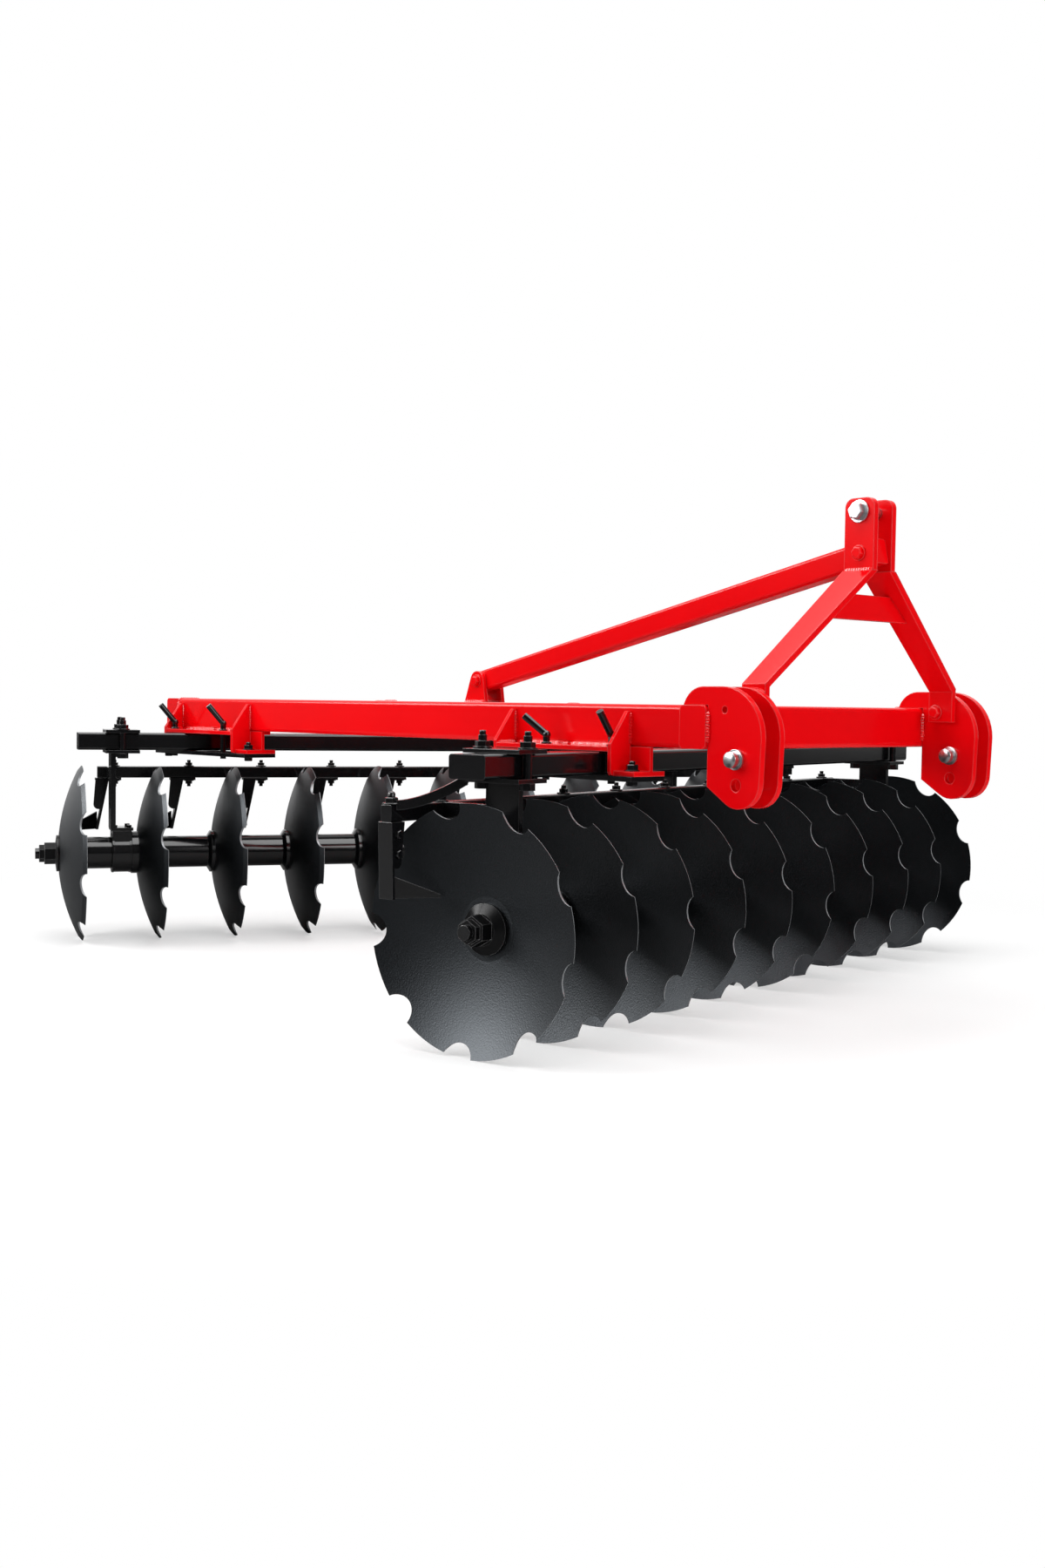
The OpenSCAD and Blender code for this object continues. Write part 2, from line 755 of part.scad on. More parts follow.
// Box tube with closed ends, bored upright for the scrapers' bolts
module scraper_bar(g) {
    past_inner = 56;
    past_outer = 18;
    x0 = disc_x(g, disc_count - 1) + scraper_out - past_inner;
    l = disc_x(g, 0) + end_scraper_out + past_outer - x0;
    corner = scraper_bar_wall;
    color(BLACK)
        at_gang(g)
            difference() {
                translate([x0, -scraper_back, scraper_up])
                    rotate([0, 90, 0]) rotate([0, 0, 90])
                        box_tube(scraper_bar_t, scraper_bar_h, l, scraper_bar_wall, corner, scraper_bar_wall);
                for (i = [0:disc_count - 1])
                    translate([disc_x(g, i) + scraper_x(i), -scraper_back, scraper_up - scraper_bar_h])
                        cylinder(d = scraper_bolt_d + 2 * bolt_gap, h = 2 * scraper_bar_h);
            }
}

// Bolt through the bar and the scraper's foot, with a washer and a nut at each end
module scraper_bolt(foot_t) {
    washer_d = 2.8 * scraper_bolt_d;
    washer_t = 3;
    nut_d = 1.85 * scraper_bolt_d;
    nut_h = 0.8 * scraper_bolt_d;
    tip = 9;
    reach = scraper_bar_h / 2;
    total = scraper_bar_h + foot_t + 2 * (washer_t + nut_h + tip);
    translate([0, 0, reach + washer_t + nut_h + tip - total]) cylinder(d = scraper_bolt_d, h = total);
    for (z = [reach, -reach - foot_t - washer_t]) translate([0, 0, z]) cylinder(d = washer_d, h = washer_t);
    for (z = [reach + washer_t, -reach - foot_t - washer_t - nut_h])
        translate([0, 0, z]) cylinder(d = nut_d, h = nut_h, $fn = 6);
}

// Scraper of one disc: a foot bolted under the bar, an arm with a lug, and a pointed blade at the hollow
module scraper(bolt_x, arm_x) {
    foot_t = 8;
    foot_end = 20;
    arm_top = 43;
    arm_w = 40;
    arm_t = 8;
    arm_root = 62;
    lug_r = 16;
    lug_up = 25;
    blade_z = 62;
    tip_y = -118;
    tip_h = 8;
    top_z = scraper_up - scraper_bar_h / 2;
    front = -scraper_back + arm_w / 2;
    lug_z = blade_z + blade_h + lug_up;
    arm_slope = (arm_x + arm_top - arm_root) / (top_z - blade_z);
    lug_x = arm_root + arm_slope * (lug_z - blade_z) - lug_r;
    root = [arm_root - arm_t / 2, front - 0.75 * arm_w];
    tip = [hollow_x(norm([tip_y, blade_z])) + blade_gap, tip_y];
    translate([bolt_x, -scraper_back, scraper_up]) scraper_bolt(foot_t);
    translate([arm_x, front - arm_w, top_z - foot_t])
        cube([max(arm_top, bolt_x + foot_end - arm_x), arm_w, foot_t]);
    translate([0, front, 0])
        rotate([90, 0, 0]) {
            linear_extrude(arm_w)
                polygon([
                    [arm_x + arm_top - arm_t, top_z - foot_t], [arm_x + arm_top, top_z - foot_t / 2],
                    [arm_root, blade_z], [arm_root - arm_t, blade_z]
                ]);
            linear_extrude(arm_t)
                polygon(concat(
                    [[arm_x, top_z - foot_t / 2], [arm_x + arm_top, top_z - foot_t / 2]],
                    arc([lug_x, lug_z], lug_r, 0, -180)
                ));
        }
    translate([root[0], root[1], blade_z])
        rotate([0, 0, atan2(tip[1] - root[1], tip[0] - root[0])])
            translate([0, blade_t / 2, 0])
                rotate([90, 0, 0])
                    linear_extrude(blade_t)
                        polygon([[0, 0], [norm(tip - root), 0], [norm(tip - root), tip_h], [0, blade_h]]);
}

module scrapers(g) {
    // From the bolt to the arm's inner edge, on the end disc and on the others
    arm_in = [22, 63];
    color(BLACK)
        at_gang(g)
            for (i = [0:disc_count - 1])
                translate([disc_x(g, i), 0, 0])
                    scraper(scraper_x(i), scraper_x(i) - arm_in[min(i, 1)]);
}

// Gang rotors

// Height of the hollow face and of the back face over the rim plane, at radius r outside the flat middle
function hollow_x(r) = dish_c - sqrt(pow(dish_r, 2) - pow(r, 2));
function back_x(r) = dish_c - sqrt(pow(dish_r + disc_t, 2) - pow(r, 2));

// A disc: a flat middle, a hollow that follows a ball, and an edge ground from the back
module disc(turn) {
    rim = disc_d / 2;
    ground = 14;
    edge_t = 1.5;
    steps = 10;
    through = dish_depth + disc_t + 2 * cut;
    difference() {
        turned_x(concat(
            [[flat_back_x, 0], [flat_hollow_x, 0]],
            [for (k = [0:steps]) let (r = flat_r + (rim - flat_r) * k / steps) [hollow_x(r), r]],
            [[-edge_t, rim]],
            [for (k = [0:steps]) let (r = rim - ground + (flat_r - rim + ground) * k / steps) [back_x(r), r]]
        ));
        for (k = [0:notch_count - 1])
            rotate([turn + k * 360 / notch_count, 0, 0])
                translate([0, rim + notch_out, 0]) rod_x(notch_r, -through, through);
        translate([flat_hollow_x, 0, 0])
            cube([through, shaft_w + 2 * bolt_gap, shaft_w + 2 * bolt_gap], center = true);
    }
}

module discs(g) {
    color(DISC)
        at_gang(g)
            for (i = [0:disc_count - 1])
                translate([disc_x(g, i), 0, 0]) disc(notch_phase + quarter_turns[i % len(quarter_turns)]);
}

// Spool between disc i and the next: flanged ends, and a turned-down journal in a bearing bay
module spool(g, i, journal) {
    xr = disc_x(g, i) + flat_back_x;
    xl = disc_x(g, i + 1) + flat_hollow_x;
    bore = spool_bore_d / 2;
    tube = spool_d / 2;
    flange = spool_flange_d / 2;
    taper = (flange - tube) * 0.6;
    jx0 = bearing_x(g, i) - bearing_l / 2 - slide_gap;
    jx1 = bearing_x(g, i) + bearing_l / 2 + slide_gap;
    right_end = journal
        ? [[jx0, tube], [jx0, journal_d / 2], [jx1, journal_d / 2], [jx1, flange], [xr, flange]]
        : [[xr - spool_flange_t - taper, tube], [xr - spool_flange_t, flange], [xr, flange]];
    turned_x(concat(
        [[xl, bore], [xl, flange], [xl + spool_flange_t, flange], [xl + spool_flange_t + taper, tube]],
        right_end,
        [[xr, bore]]
    ));
}

module spools(g) {
    color(BLACK)
        at_gang(g)
            for (i = [0:disc_count - 2]) spool(g, i, i == bearing_bays[0] || i == bearing_bays[1]);
}

module shaft(g) {
    hollow = disc_x(g, 0) + flat_hollow_x;
    back = disc_x(g, disc_count - 1) + flat_back_x;
    out = nut_l + lock_nut_l + shaft_tip;
    color(BLACK)
        at_gang(g) {
            translate([back, -shaft_w / 2, -shaft_w / 2]) cube([hollow - back, shaft_w, shaft_w]);
            rod_x(shaft_end_d / 2, hollow - cut, hollow + hollow_washer_t + out);
            rod_x(shaft_end_d / 2, back - back_washer_t - out, back + cut);
        }
}

// Washer, nut and lock nut on an end of the shaft, from the disc's face at x outwards
module end_nut(x, washer_t, rim_t) {
    rim = end_washer_d / 2;
    difference() {
        union() {
            turned_x([[x, 0], [x, rim], [x + rim_t, rim], [x + washer_t, rim * 0.62], [x + washer_t, 0]]);
            hex_x(nut_across, x + washer_t - nut_sunk, x + washer_t + nut_l);
            hex_x(nut_across * 0.8, x + washer_t + nut_l - nut_sunk, x + washer_t + nut_l + lock_nut_l);
        }
        rod_x(shaft_end_d / 2 + seat_gap, x - cut, x + washer_t + nut_l + lock_nut_l + cut);
    }
}

module end_nuts(g) {
    color(BLACK)
        at_gang(g) {
            end_nut(disc_x(g, 0) + flat_hollow_x, hollow_washer_t, 9);
            mirror([1, 0, 0])
                end_nut(-disc_x(g, disc_count - 1) - flat_back_x, back_washer_t, back_washer_t - 3);
        }
}

front_beam();
rear_beam();
side_beam(1);  // side_beam_right
side_beam(-1);  // side_beam_left
cross_beam();
hitch_plates(1);  // hitch_plates_right
hitch_plates(-1);  // hitch_plates_left
lower_pins();
mast_leg(1);  // mast_leg_right
mast_leg(-1);  // mast_leg_left
mast_crossbar();
clevis_plates();
top_pin();
stay();
stay_lugs();
bracket_flanges();
drop_legs();
keeper_plates();
locking_pins();
pivot_pins();
gang_beam(0);  // front_gang_beam
clamps(0);  // front_clamps
clamp_bolts(0);  // front_clamp_bolts
hangers(0);  // front_hangers
bearings(0);  // front_bearings
scraper_brackets(0);  // front_scraper_brackets
scraper_bar(0);  // front_scraper_bar
scrapers(0);  // front_scrapers
shaft(0);  // front_shaft
discs(0);  // front_discs
spools(0);  // front_spools
end_nuts(0);  // front_end_nuts
gang_beam(1);  // rear_gang_beam
clamps(1);  // rear_clamps
clamp_bolts(1);  // rear_clamp_bolts
hangers(1);  // rear_hangers
bearings(1);  // rear_bearings
scraper_brackets(1);  // rear_scraper_brackets
scraper_bar(1);  // rear_scraper_bar
scrapers(1);  // rear_scrapers
shaft(1);  // rear_shaft
discs(1);  // rear_discs
spools(1);  // rear_spools
end_nuts(1);  // rear_end_nuts
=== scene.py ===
"""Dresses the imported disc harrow: paint, plated steel, welds and fasteners, and the studio it stands in."""

import bmesh
import bpy
import numpy as np
from mathutils import Matrix, Vector


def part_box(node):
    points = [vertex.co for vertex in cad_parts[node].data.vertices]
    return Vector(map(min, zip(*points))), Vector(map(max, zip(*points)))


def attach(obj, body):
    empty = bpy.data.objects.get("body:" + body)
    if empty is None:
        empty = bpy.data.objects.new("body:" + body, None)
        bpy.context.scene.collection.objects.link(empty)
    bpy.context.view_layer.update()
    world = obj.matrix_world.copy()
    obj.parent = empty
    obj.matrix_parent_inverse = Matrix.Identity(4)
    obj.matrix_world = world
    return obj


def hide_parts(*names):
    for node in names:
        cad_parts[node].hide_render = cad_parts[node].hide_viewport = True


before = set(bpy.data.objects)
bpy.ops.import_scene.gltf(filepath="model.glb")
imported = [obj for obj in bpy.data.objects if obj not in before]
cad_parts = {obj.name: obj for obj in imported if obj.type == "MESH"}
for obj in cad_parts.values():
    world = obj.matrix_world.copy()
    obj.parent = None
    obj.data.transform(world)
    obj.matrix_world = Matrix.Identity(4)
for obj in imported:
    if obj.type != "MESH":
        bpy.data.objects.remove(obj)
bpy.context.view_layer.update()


# Frame: box tubes of 80 x 100 mm, cut square, welded up and sprayed in one coat of gloss red.
# The paint lies a little thick and thin, and gathers along the edges, which are paled towards white as a
# painted highlight. A rippled bead runs along each joint.
def node_of(tree, kind, inputs=None, **settings):
    """Adds one shader node with its settings, and fills the named sockets with plain values."""
    node = tree.nodes.new(kind)
    for name, value in settings.items():
        setattr(node, name, value)
    for name, value in (inputs or {}).items():
        node.inputs[name].default_value = value
    return node


def uneven_coat_group():
    """A coat that isn't quite even: colour and gloss drift with slow noise, it ripples, and gathers at edges.
    The edge mask thickens the clear coat and pales the colour towards white, a painted highlight. It is
    1 - (bevelled normal . true normal), stretched from 0.01..0.16 to 0..1."""
    group = bpy.data.node_groups.new("uneven_coat", "ShaderNodeTree")
    taken = {
        "Colour": "Color", "Roughness": "Float", "Ripple": "Float", "Ripples per metre": "Float",
        "Edge radius": "Float", "Painted edge highlight": "Float", "Coat": "Float",
    }
    given = {"Colour": "Color", "Roughness": "Float", "Coat": "Float", "Normal": "Vector"}
    for name, kind in taken.items():
        group.interface.new_socket(name, in_out="INPUT", socket_type=f"NodeSocket{kind}")
    for name, kind in given.items():
        group.interface.new_socket(name, in_out="OUTPUT", socket_type=f"NodeSocket{kind}")
    edge_coat = 0.6
    into = group.nodes.new("NodeGroupInput")
    out = group.nodes.new("NodeGroupOutput")
    place = group.nodes.new("ShaderNodeTexCoord")
    drift = node_of(group, "ShaderNodeTexNoise", {"Scale": 3.0, "Detail": 4.0})
    ripple = node_of(group, "ShaderNodeTexNoise", {"Detail": 2.0})
    shade = node_of(group, "ShaderNodeMapRange", {"To Min": 0.92, "To Max": 1.08})
    tint = node_of(group, "ShaderNodeMix", {"Factor": 1.0}, data_type="RGBA", blend_type="MULTIPLY")
    gloss = node_of(group, "ShaderNodeMath", operation="MULTIPLY")
    edge = node_of(group, "ShaderNodeBevel", samples=6)
    bump = node_of(group, "ShaderNodeBump", {"Distance": 0.001})
    flat = group.nodes.new("ShaderNodeNewGeometry")
    bend = node_of(group, "ShaderNodeVectorMath", operation="DOT_PRODUCT")
    rim = node_of(group, "ShaderNodeMapRange", {"From Min": 0.99, "From Max": 0.84})
    # Painted highlight: along edges the colour is mixed towards white by the edge mask times its strength.
    painted_rim_highlight = node_of(group, "ShaderNodeMath", operation="MULTIPLY")
    pale = node_of(group, "ShaderNodeMix", {"B": (1, 1, 1, 1)}, data_type="RGBA")
    thick = node_of(group, "ShaderNodeMath", {1: edge_coat}, operation="MULTIPLY_ADD")
    link = group.links.new
    link(place.outputs["Object"], drift.inputs["Vector"])
    link(place.outputs["Object"], ripple.inputs["Vector"])
    link(into.outputs["Ripples per metre"], ripple.inputs["Scale"])
    link(drift.outputs["Fac"], shade.inputs["Value"])
    link(into.outputs["Colour"], tint.inputs["A"])
    link(shade.outputs["Result"], tint.inputs["B"])
    link(into.outputs["Roughness"], gloss.inputs[0])
    link(shade.outputs["Result"], gloss.inputs[1])
    link(into.outputs["Edge radius"], edge.inputs["Radius"])
    link(edge.outputs["Normal"], bump.inputs["Normal"])
    link(into.outputs["Ripple"], bump.inputs["Strength"])
    link(ripple.outputs["Fac"], bump.inputs["Height"])
    link(edge.outputs["Normal"], bend.inputs[0])
    link(flat.outputs["True Normal"], bend.inputs[1])
    link(bend.outputs["Value"], rim.inputs["Value"])
    link(rim.outputs["Result"], painted_rim_highlight.inputs[0])
    link(into.outputs["Painted edge highlight"], painted_rim_highlight.inputs[1])
    link(painted_rim_highlight.outputs["Value"], pale.inputs["Factor"])
    link(tint.outputs["Result"], pale.inputs["A"])
    link(rim.outputs["Result"], thick.inputs[0])
    link(into.outputs["Coat"], thick.inputs[2])
    link(pale.outputs["Result"], out.inputs["Colour"])
    link(thick.outputs["Value"], out.inputs["Coat"])
    link(gloss.outputs["Value"], out.inputs["Roughness"])
    link(bump.outputs["Normal"], out.inputs["Normal"])
    return group


uneven_coat = uneven_coat_group()


def coated(name, colour, roughness, clear_coat, ripple, per_metre, edge_radius,
           metallic=0.0, shine=0.5, cast=(1, 1, 1), painted_edge_highlight=0.0):
    """Steel under paint, plating or oil: the coat group drives its colour, gloss, clear coat and normal."""
    material = bpy.data.materials.new(name)
    material.use_nodes = True
    tree = material.node_tree
    shader = tree.nodes["Principled BSDF"]
    shader.inputs["Metallic"].default_value = metallic
    shader.inputs["Specular IOR Level"].default_value = shine
    shader.inputs["Specular Tint"].default_value = (*cast, 1.0)
    shader.inputs["Coat Roughness"].default_value = 0.1
    coat = node_of(tree, "ShaderNodeGroup", {
        "Colour": (*colour, 1.0), "Roughness": roughness, "Ripple": ripple, "Ripples per metre": per_metre,
        "Edge radius": edge_radius, "Painted edge highlight": painted_edge_highlight, "Coat": clear_coat,
    }, node_tree=uneven_coat)
    tree.links.new(coat.outputs["Colour"], shader.inputs["Base Color"])
    tree.links.new(coat.outputs["Roughness"], shader.inputs["Roughness"])
    tree.links.new(coat.outputs["Coat"], shader.inputs["Coat Weight"])
    tree.links.new(coat.outputs["Normal"], shader.inputs["Normal"])
    return material


def finish_nodes(material, names):
    """Gives the named CAD nodes this material."""
    for name in names:
        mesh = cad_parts[name].data
        mesh.materials.clear()
        mesh.materials.append(material)


def node_box(name):
    """Lowest and highest corners of a CAD node, in mm to a hundredth."""
    return np.round(np.array(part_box(name)) * 1000, 2)


def close_seams(mesh):
    """Merges points that meet, and shades the mesh smooth between edges of over 35 degrees."""
    shell = bmesh.new()
    shell.from_mesh(mesh)
    bmesh.ops.remove_doubles(shell, verts=shell.verts, dist=1e-6)
    shell.to_mesh(mesh)
    shell.free()
    mesh.shade_smooth()
    mesh.set_sharp_from_angle(angle=np.radians(35))


def add_piece(name, grid, material, body):
    """One mesh from (points, quads) in metres, with its material, that rides on a body."""
    mesh = bpy.data.meshes.new(name)
    mesh.from_pydata(grid[0].reshape(-1, 3).tolist(), [], grid[1].reshape(-1, 4).tolist())
    close_seams(mesh)
    mesh.materials.append(material)
    piece = bpy.data.objects.new(name, mesh)
    bpy.context.collection.objects.link(piece)
    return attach(piece, body)


def tube_quads(shape):
    """Corner numbers of the quads on rows of rings: (pieces, rings, points round a ring)."""
    number = np.arange(np.prod(shape)).reshape(shape)
    lower, upper = number[:, :-1], number[:, 1:]
    return np.stack([lower, np.roll(lower, -1, 2), np.roll(upper, -1, 2), upper], -1)


def square_to(axes):
    """Two unit vectors u and v square to each axis, with u x v along it."""
    slanted = [0.31, 0.17, 0.93]
    u = np.cross(axes, slanted)
    u = u / np.linalg.norm(u, axis=-1, keepdims=True)
    return u, np.cross(axes, u)


def weld_beads(lines, radius):
    """Rippled beads along lines (start, end) in mm, of a radius in mm:
    p = start + s * (end - start) + r(s) * (cos t * u + sin t * v), with
    r(s) = radius * (1 - (2 s - 1)^8)^0.5 * (1 + swell * |sin(pi * length * s / step)|)."""
    step, swell = 0.007, 0.3
    lines = np.asarray(lines, float) / 1000
    start, run = lines[:, :3], lines[:, 3:] - lines[:, :3]
    length = np.linalg.norm(run, axis=1)
    u, v = square_to(run / length[:, None])
    s = np.linspace(0, 1, 120)
    t = np.linspace(0, 2 * np.pi, 6, endpoint=False)
    rounded_ends = np.sqrt(1 - (2 * s - 1) ** 8)
    ripples = 1 + swell * np.abs(np.sin(np.pi * length[:, None] * s / step))
    r = radius / 1000 * rounded_ends * ripples
    ring = np.cos(t)[:, None] * u[:, None] + np.sin(t)[:, None] * v[:, None]
    middle = start[:, None] + s[:, None] * run[:, None]
    points = middle[:, :, None] + r[..., None, None] * ring[:, None]
    return points, tube_quads(points.shape[:3])


red = (0.74, 0.0012, 0.0035)
# The coat group pales the red towards white along its edges: a painted highlight.
red_paint = coated("red_paint", red, roughness=0.15, clear_coat=0.05, ripple=0.05, per_metre=140.0,
                   edge_radius=0.004, shine=0.22, painted_edge_highlight=0.05)
weld_paint = coated("red_paint_on_welds", red, roughness=0.12, clear_coat=0.6, ripple=0.05, per_metre=140.0,
                    edge_radius=0.001)
finish_nodes(red_paint, ["front_beam", "rear_beam", "side_beam_right", "side_beam_left", "cross_beam"])


def weld_piece(name, lines, radius):
    """Painted beads on the frame."""
    add_piece(name, weld_beads(lines, radius), weld_paint, "frame")


# Beads up the tubes' sides stop at the rounded corners, and those across the tops lie sunk in the joint
tube_corner, top_sink, cross_inset = 10, 5, 8
right_low, right_high = node_box("side_beam_right")
left_low, left_high = node_box("side_beam_left")
cross_low, cross_high = node_box("cross_beam")
front_low, front_high = node_box("front_beam")
rear_high = node_box("rear_beam")[1]
seam_low, seam_high = cross_low[2] + tube_corner, cross_high[2] - tube_corner
seam_top = cross_high[2] - top_sink
cross_rear, cross_front = cross_low[1] + cross_inset, cross_high[1] - cross_inset
frame_seams = []
for outer, inner in ((right_high[0], right_low[0]), (left_low[0], left_high[0])):
    for y in (front_low[1], rear_high[1]):
        frame_seams.append((outer, y, seam_low, outer, y, seam_high))
        frame_seams.append((inner, y, seam_low, inner, y, seam_high))
        frame_seams.append((outer, y, seam_top, inner, y, seam_top))
    for y in (cross_low[1], cross_high[1]):
        frame_seams.append((inner, y, seam_low, inner, y, seam_high))
    frame_seams.append((inner, cross_rear, seam_top, inner, cross_front, seam_top))
weld_piece("frame_welds", frame_seams, radius=7)


# Hitch and mast: flame-cut plate pairs on the front beam carry two bent flats with a crossbar and a clevis.
# The plates are welded on and the mast is bolted between them, painted over in red.
# The hitch pins are turned from bright bar, zinc plated and held by lynch pins or a domed nut.
def turned(profile, feet, axes, sides=40):
    """Turned pieces: p = foot + h * axis + r * (cos t * u + sin t * v) over a profile of (r, h) in mm."""
    feet = np.atleast_2d(np.asarray(feet, float)) / 1000
    axes = np.broadcast_to(np.asarray(axes, float), feet.shape)
    axes = axes / np.linalg.norm(axes, axis=1, keepdims=True)
    r, h = np.asarray(profile, float).T / 1000
    u, v = square_to(axes)
    t = np.linspace(0, 2 * np.pi, sides, endpoint=False)
    ring = np.cos(t)[:, None] * u[:, None] + np.sin(t)[:, None] * v[:, None]
    along = h[:, None, None] * axes[:, None, None]
    points = feet[:, None, None] + along + r[:, None, None] * ring[:, None]
    return points, tube_quads(points.shape[:3])


def washer(hole, rim, thick):
    """Profile of a plain washer."""
    return [(hole, 0), (rim, 0), (rim, thick), (hole, thick)]


def eased_washer(hole, rim, thick):
    """Profile of a heavy washer, with 1 mm taken off its corners."""
    return [(hole, 0), (rim - 1, 0), (rim, 1), (rim, thick - 1), (rim - 1, thick), (hole, thick)]


def hexagon(radius, base, top, chamfer):
    """Profile of a nut or bolt head from base to top, chamfered at the top; it is turned with 6 sides."""
    return [(0, base), (radius, base), (radius, top - chamfer), (radius - chamfer, top), (0, top)]


def dome(top):
    """Profile of the crown of a domed nut or pin head, 18 mm in radius at its foot."""
    return [(18, top - 5), (15, top - 2), (8, top - 0.5), (0, top)]


def lynch_rings(ends):
    """Spring rings, swept: p = end + [0, R cos a, R sin a - drop] + r * (cos t * n(a) + sin t * x)."""
    ring_radius, wire_radius, drop = 19, 2, 14
    a = np.linspace(0, 2 * np.pi, 49)
    t = np.linspace(0, 2 * np.pi, 10, endpoint=False)
    n = np.stack([0 * a, np.cos(a), np.sin(a)], -1)
    path = ring_radius * n - [0, 0, drop]
    round_wire = np.cos(t)[:, None] * n[:, None] + np.sin(t)[:, None] * np.array([1.0, 0, 0])
    wire = path[:, None] + wire_radius * round_wire
    points = (np.asarray(ends, float)[:, None, None] + wire) / 1000
    return points, tube_quads(points.shape[:3])


zinc = coated("zinc_plate", (0.62, 0.63, 0.65), roughness=0.3, clear_coat=0.0, ripple=0.02, per_metre=220.0,
              edge_radius=0.0015, metallic=1.0)
finish_nodes(zinc, ["lower_pins", "top_pin"])
finish_nodes(red_paint, [
    "hitch_plates_right", "hitch_plates_left", "mast_leg_right", "mast_leg_left", "mast_crossbar",
    "clevis_plates", "stay", "stay_lugs",
])


def zinc_piece(name, grid):
    """Zinc-plated hardware on the frame."""
    add_piece(name, grid, zinc, "frame")


def red_piece(name, grid):
    """Hardware on the frame that is painted over in red."""
    add_piece(name, grid, red_paint, "frame")


pair_low, pair_high = node_box("hitch_plates_right")
left_pair_low, left_pair_high = node_box("hitch_plates_left")
pins_low, pins_high = node_box("lower_pins")
clevis_low, clevis_high = node_box("clevis_plates")
lug_low, lug_high = node_box("stay_lugs")
to_right, to_left, upwards = [1.0, 0, 0], [-1.0, 0, 0], [0, 0, 1.0]
hitch_middle = (left_pair_low[0] + pair_high[0]) / 2
hitch_half = (pair_low[0] + pair_high[0]) / 2 - hitch_middle
pair_half = (pair_high[0] - pair_low[0]) / 2
clevis_half = clevis_high[0] - hitch_middle
lug_half = lug_high[0] - hitch_middle

# Heads of the lower pins and of the top pin, with the top pin's washers
pin_y, pin_z = (pins_low + pins_high)[1:] / 2
pin_heads = [[pins_high[0], pin_y, pin_z], [pins_low[0], pin_y, pin_z]]
zinc_piece("lower_pin_heads", turned([(18, -2), *dome(6)], pin_heads, [to_right, to_left]))
top_y, top_z = np.round(node_box("top_pin").mean(axis=0))[1:]
top_place = np.array([hitch_middle, top_y, top_z])
head_stand = 6
head_foot = top_place + [clevis_half + head_stand, 0, 0]
zinc_piece("top_pin_hexagon", turned(hexagon(21, 0, 16, 3), head_foot, to_right, sides=6))
clevis_faces = [top_place + [clevis_half, 0, 0], top_place - [clevis_half, 0, 0]]
zinc_piece("top_pin_washers", turned(eased_washer(13, 27, 5), clevis_faces, [to_right, to_left]))

# The left lower pin is held by a domed, flanged nut, the others by lynch pins of a spring ring and a peg
nut_foot = [left_pair_high[0], pin_y, pin_z]
nut_flange = [(14, 0), (23, 0), (23, 5), (21, 6), (18, 6)]
zinc_piece("left_pin_nut", turned([*nut_flange, *dome(29)], nut_foot, to_right))
lower_tail, top_tail = 18, 21
pin_tails = [[pair_low[0] - lower_tail, pin_y, pin_z], top_place - [clevis_half + top_tail, 0, 0]]
zinc_piece("lynch_rings", lynch_rings(pin_tails))
peg = [(0, -26), (4, -26), (4, 22), (0, 22)]
zinc_piece("lynch_pegs", turned(peg, pin_tails, upwards, sides=16))

# Spacer tubes between the plates of each pair, and the bolts of the mast's tabs, the stay and its lugs
hitch_plate, mast_tab = 16, 16
gap_half = pair_half - hitch_plate
spacer_place, tab_bolt = [1262, 795], [1287.4, 770]
stay_bolt, lug_bolt = [top_y, 1142.8], [(cross_low[1] + cross_high[1]) / 2, 844]
spacers = [[hitch_middle + side * hitch_half - gap_half, *spacer_place] for side in (1, -1)]
red_piece("pair_spacers", turned([(11, 0), (11, 2 * gap_half)], spacers, to_right))
bolt_feet, bolt_axes = [], []
for place, half in ((stay_bolt, clevis_half), (lug_bolt, lug_half)):
    for side in (1, -1):
        bolt_feet.append([hitch_middle + side * half, *place])
        bolt_axes.append([side, 0, 0])
for side in (1, -1):
    bolt_feet.append([hitch_middle + side * (hitch_half - pair_half - mast_tab), *tab_bolt])
    bolt_axes.append([-side, 0, 0])
red_piece("mast_bolts", turned(hexagon(15, 0, 13, 2), bolt_feet, bolt_axes, sides=6))
red_piece("mast_washers", turned(washer(8, 19, 3), bolt_feet, bolt_axes))

# Beads of the plate pairs on the front beam, of the clevis on the mast and of the lugs on the cross beam
lug_plate, plate_inset, bead_inset, bead_out = 12, 14, 2, 1
plate_y = front_high[1] + bead_out
plate_low, plate_high = front_low[2] + plate_inset, front_high[2] - plate_inset
clevis_rear, clevis_front = clevis_low[1] + bead_inset, clevis_high[1] - bead_inset
lug_rear, lug_front = lug_low[1] + bead_inset, lug_high[1] - bead_inset
clevis_z, lug_z = clevis_low[2], lug_low[2] + bead_out
mast_seams = []
for side in (1, -1):
    for offset in (pair_half, -pair_half, gap_half, -gap_half):
        x = hitch_middle + side * (hitch_half + offset)
        mast_seams.append((x, plate_y, plate_low, x, plate_y, plate_high))
    x = hitch_middle + side * (clevis_half - bead_out)
    mast_seams.append((x, clevis_rear, clevis_z, x, clevis_front, clevis_z))
    for offset in (lug_half - lug_plate, lug_half):
        x = hitch_middle + side * offset
        mast_seams.append((x, lug_rear, lug_z, x, lug_front, lug_z))
weld_piece("mast_welds", mast_seams, radius=6.2)


# Gang brackets: on the right, a flange under the side beam, drop legs and a bolted keeper plate box in each
# gang beam, between two bent-handled locking pins. On the left a flange alone takes the beam's pivot bolt.
# Flanges and legs are cut from plate and welded to the beam; keepers, pins and bolts are painted black.
def read_rows(items, name):
    """A vector attribute of mesh elements, as an array of (elements, 3)."""
    values = np.empty(len(items) * 3)
    items.foreach_get(name, values)
    return values.reshape(-1, 3)


def stud(radius, base, top, ease):
    """Profile of a bolt's threaded end, eased over its last 2 mm."""
    return [(radius, base), (radius, top - 2), (radius - ease, top), (0, top)]


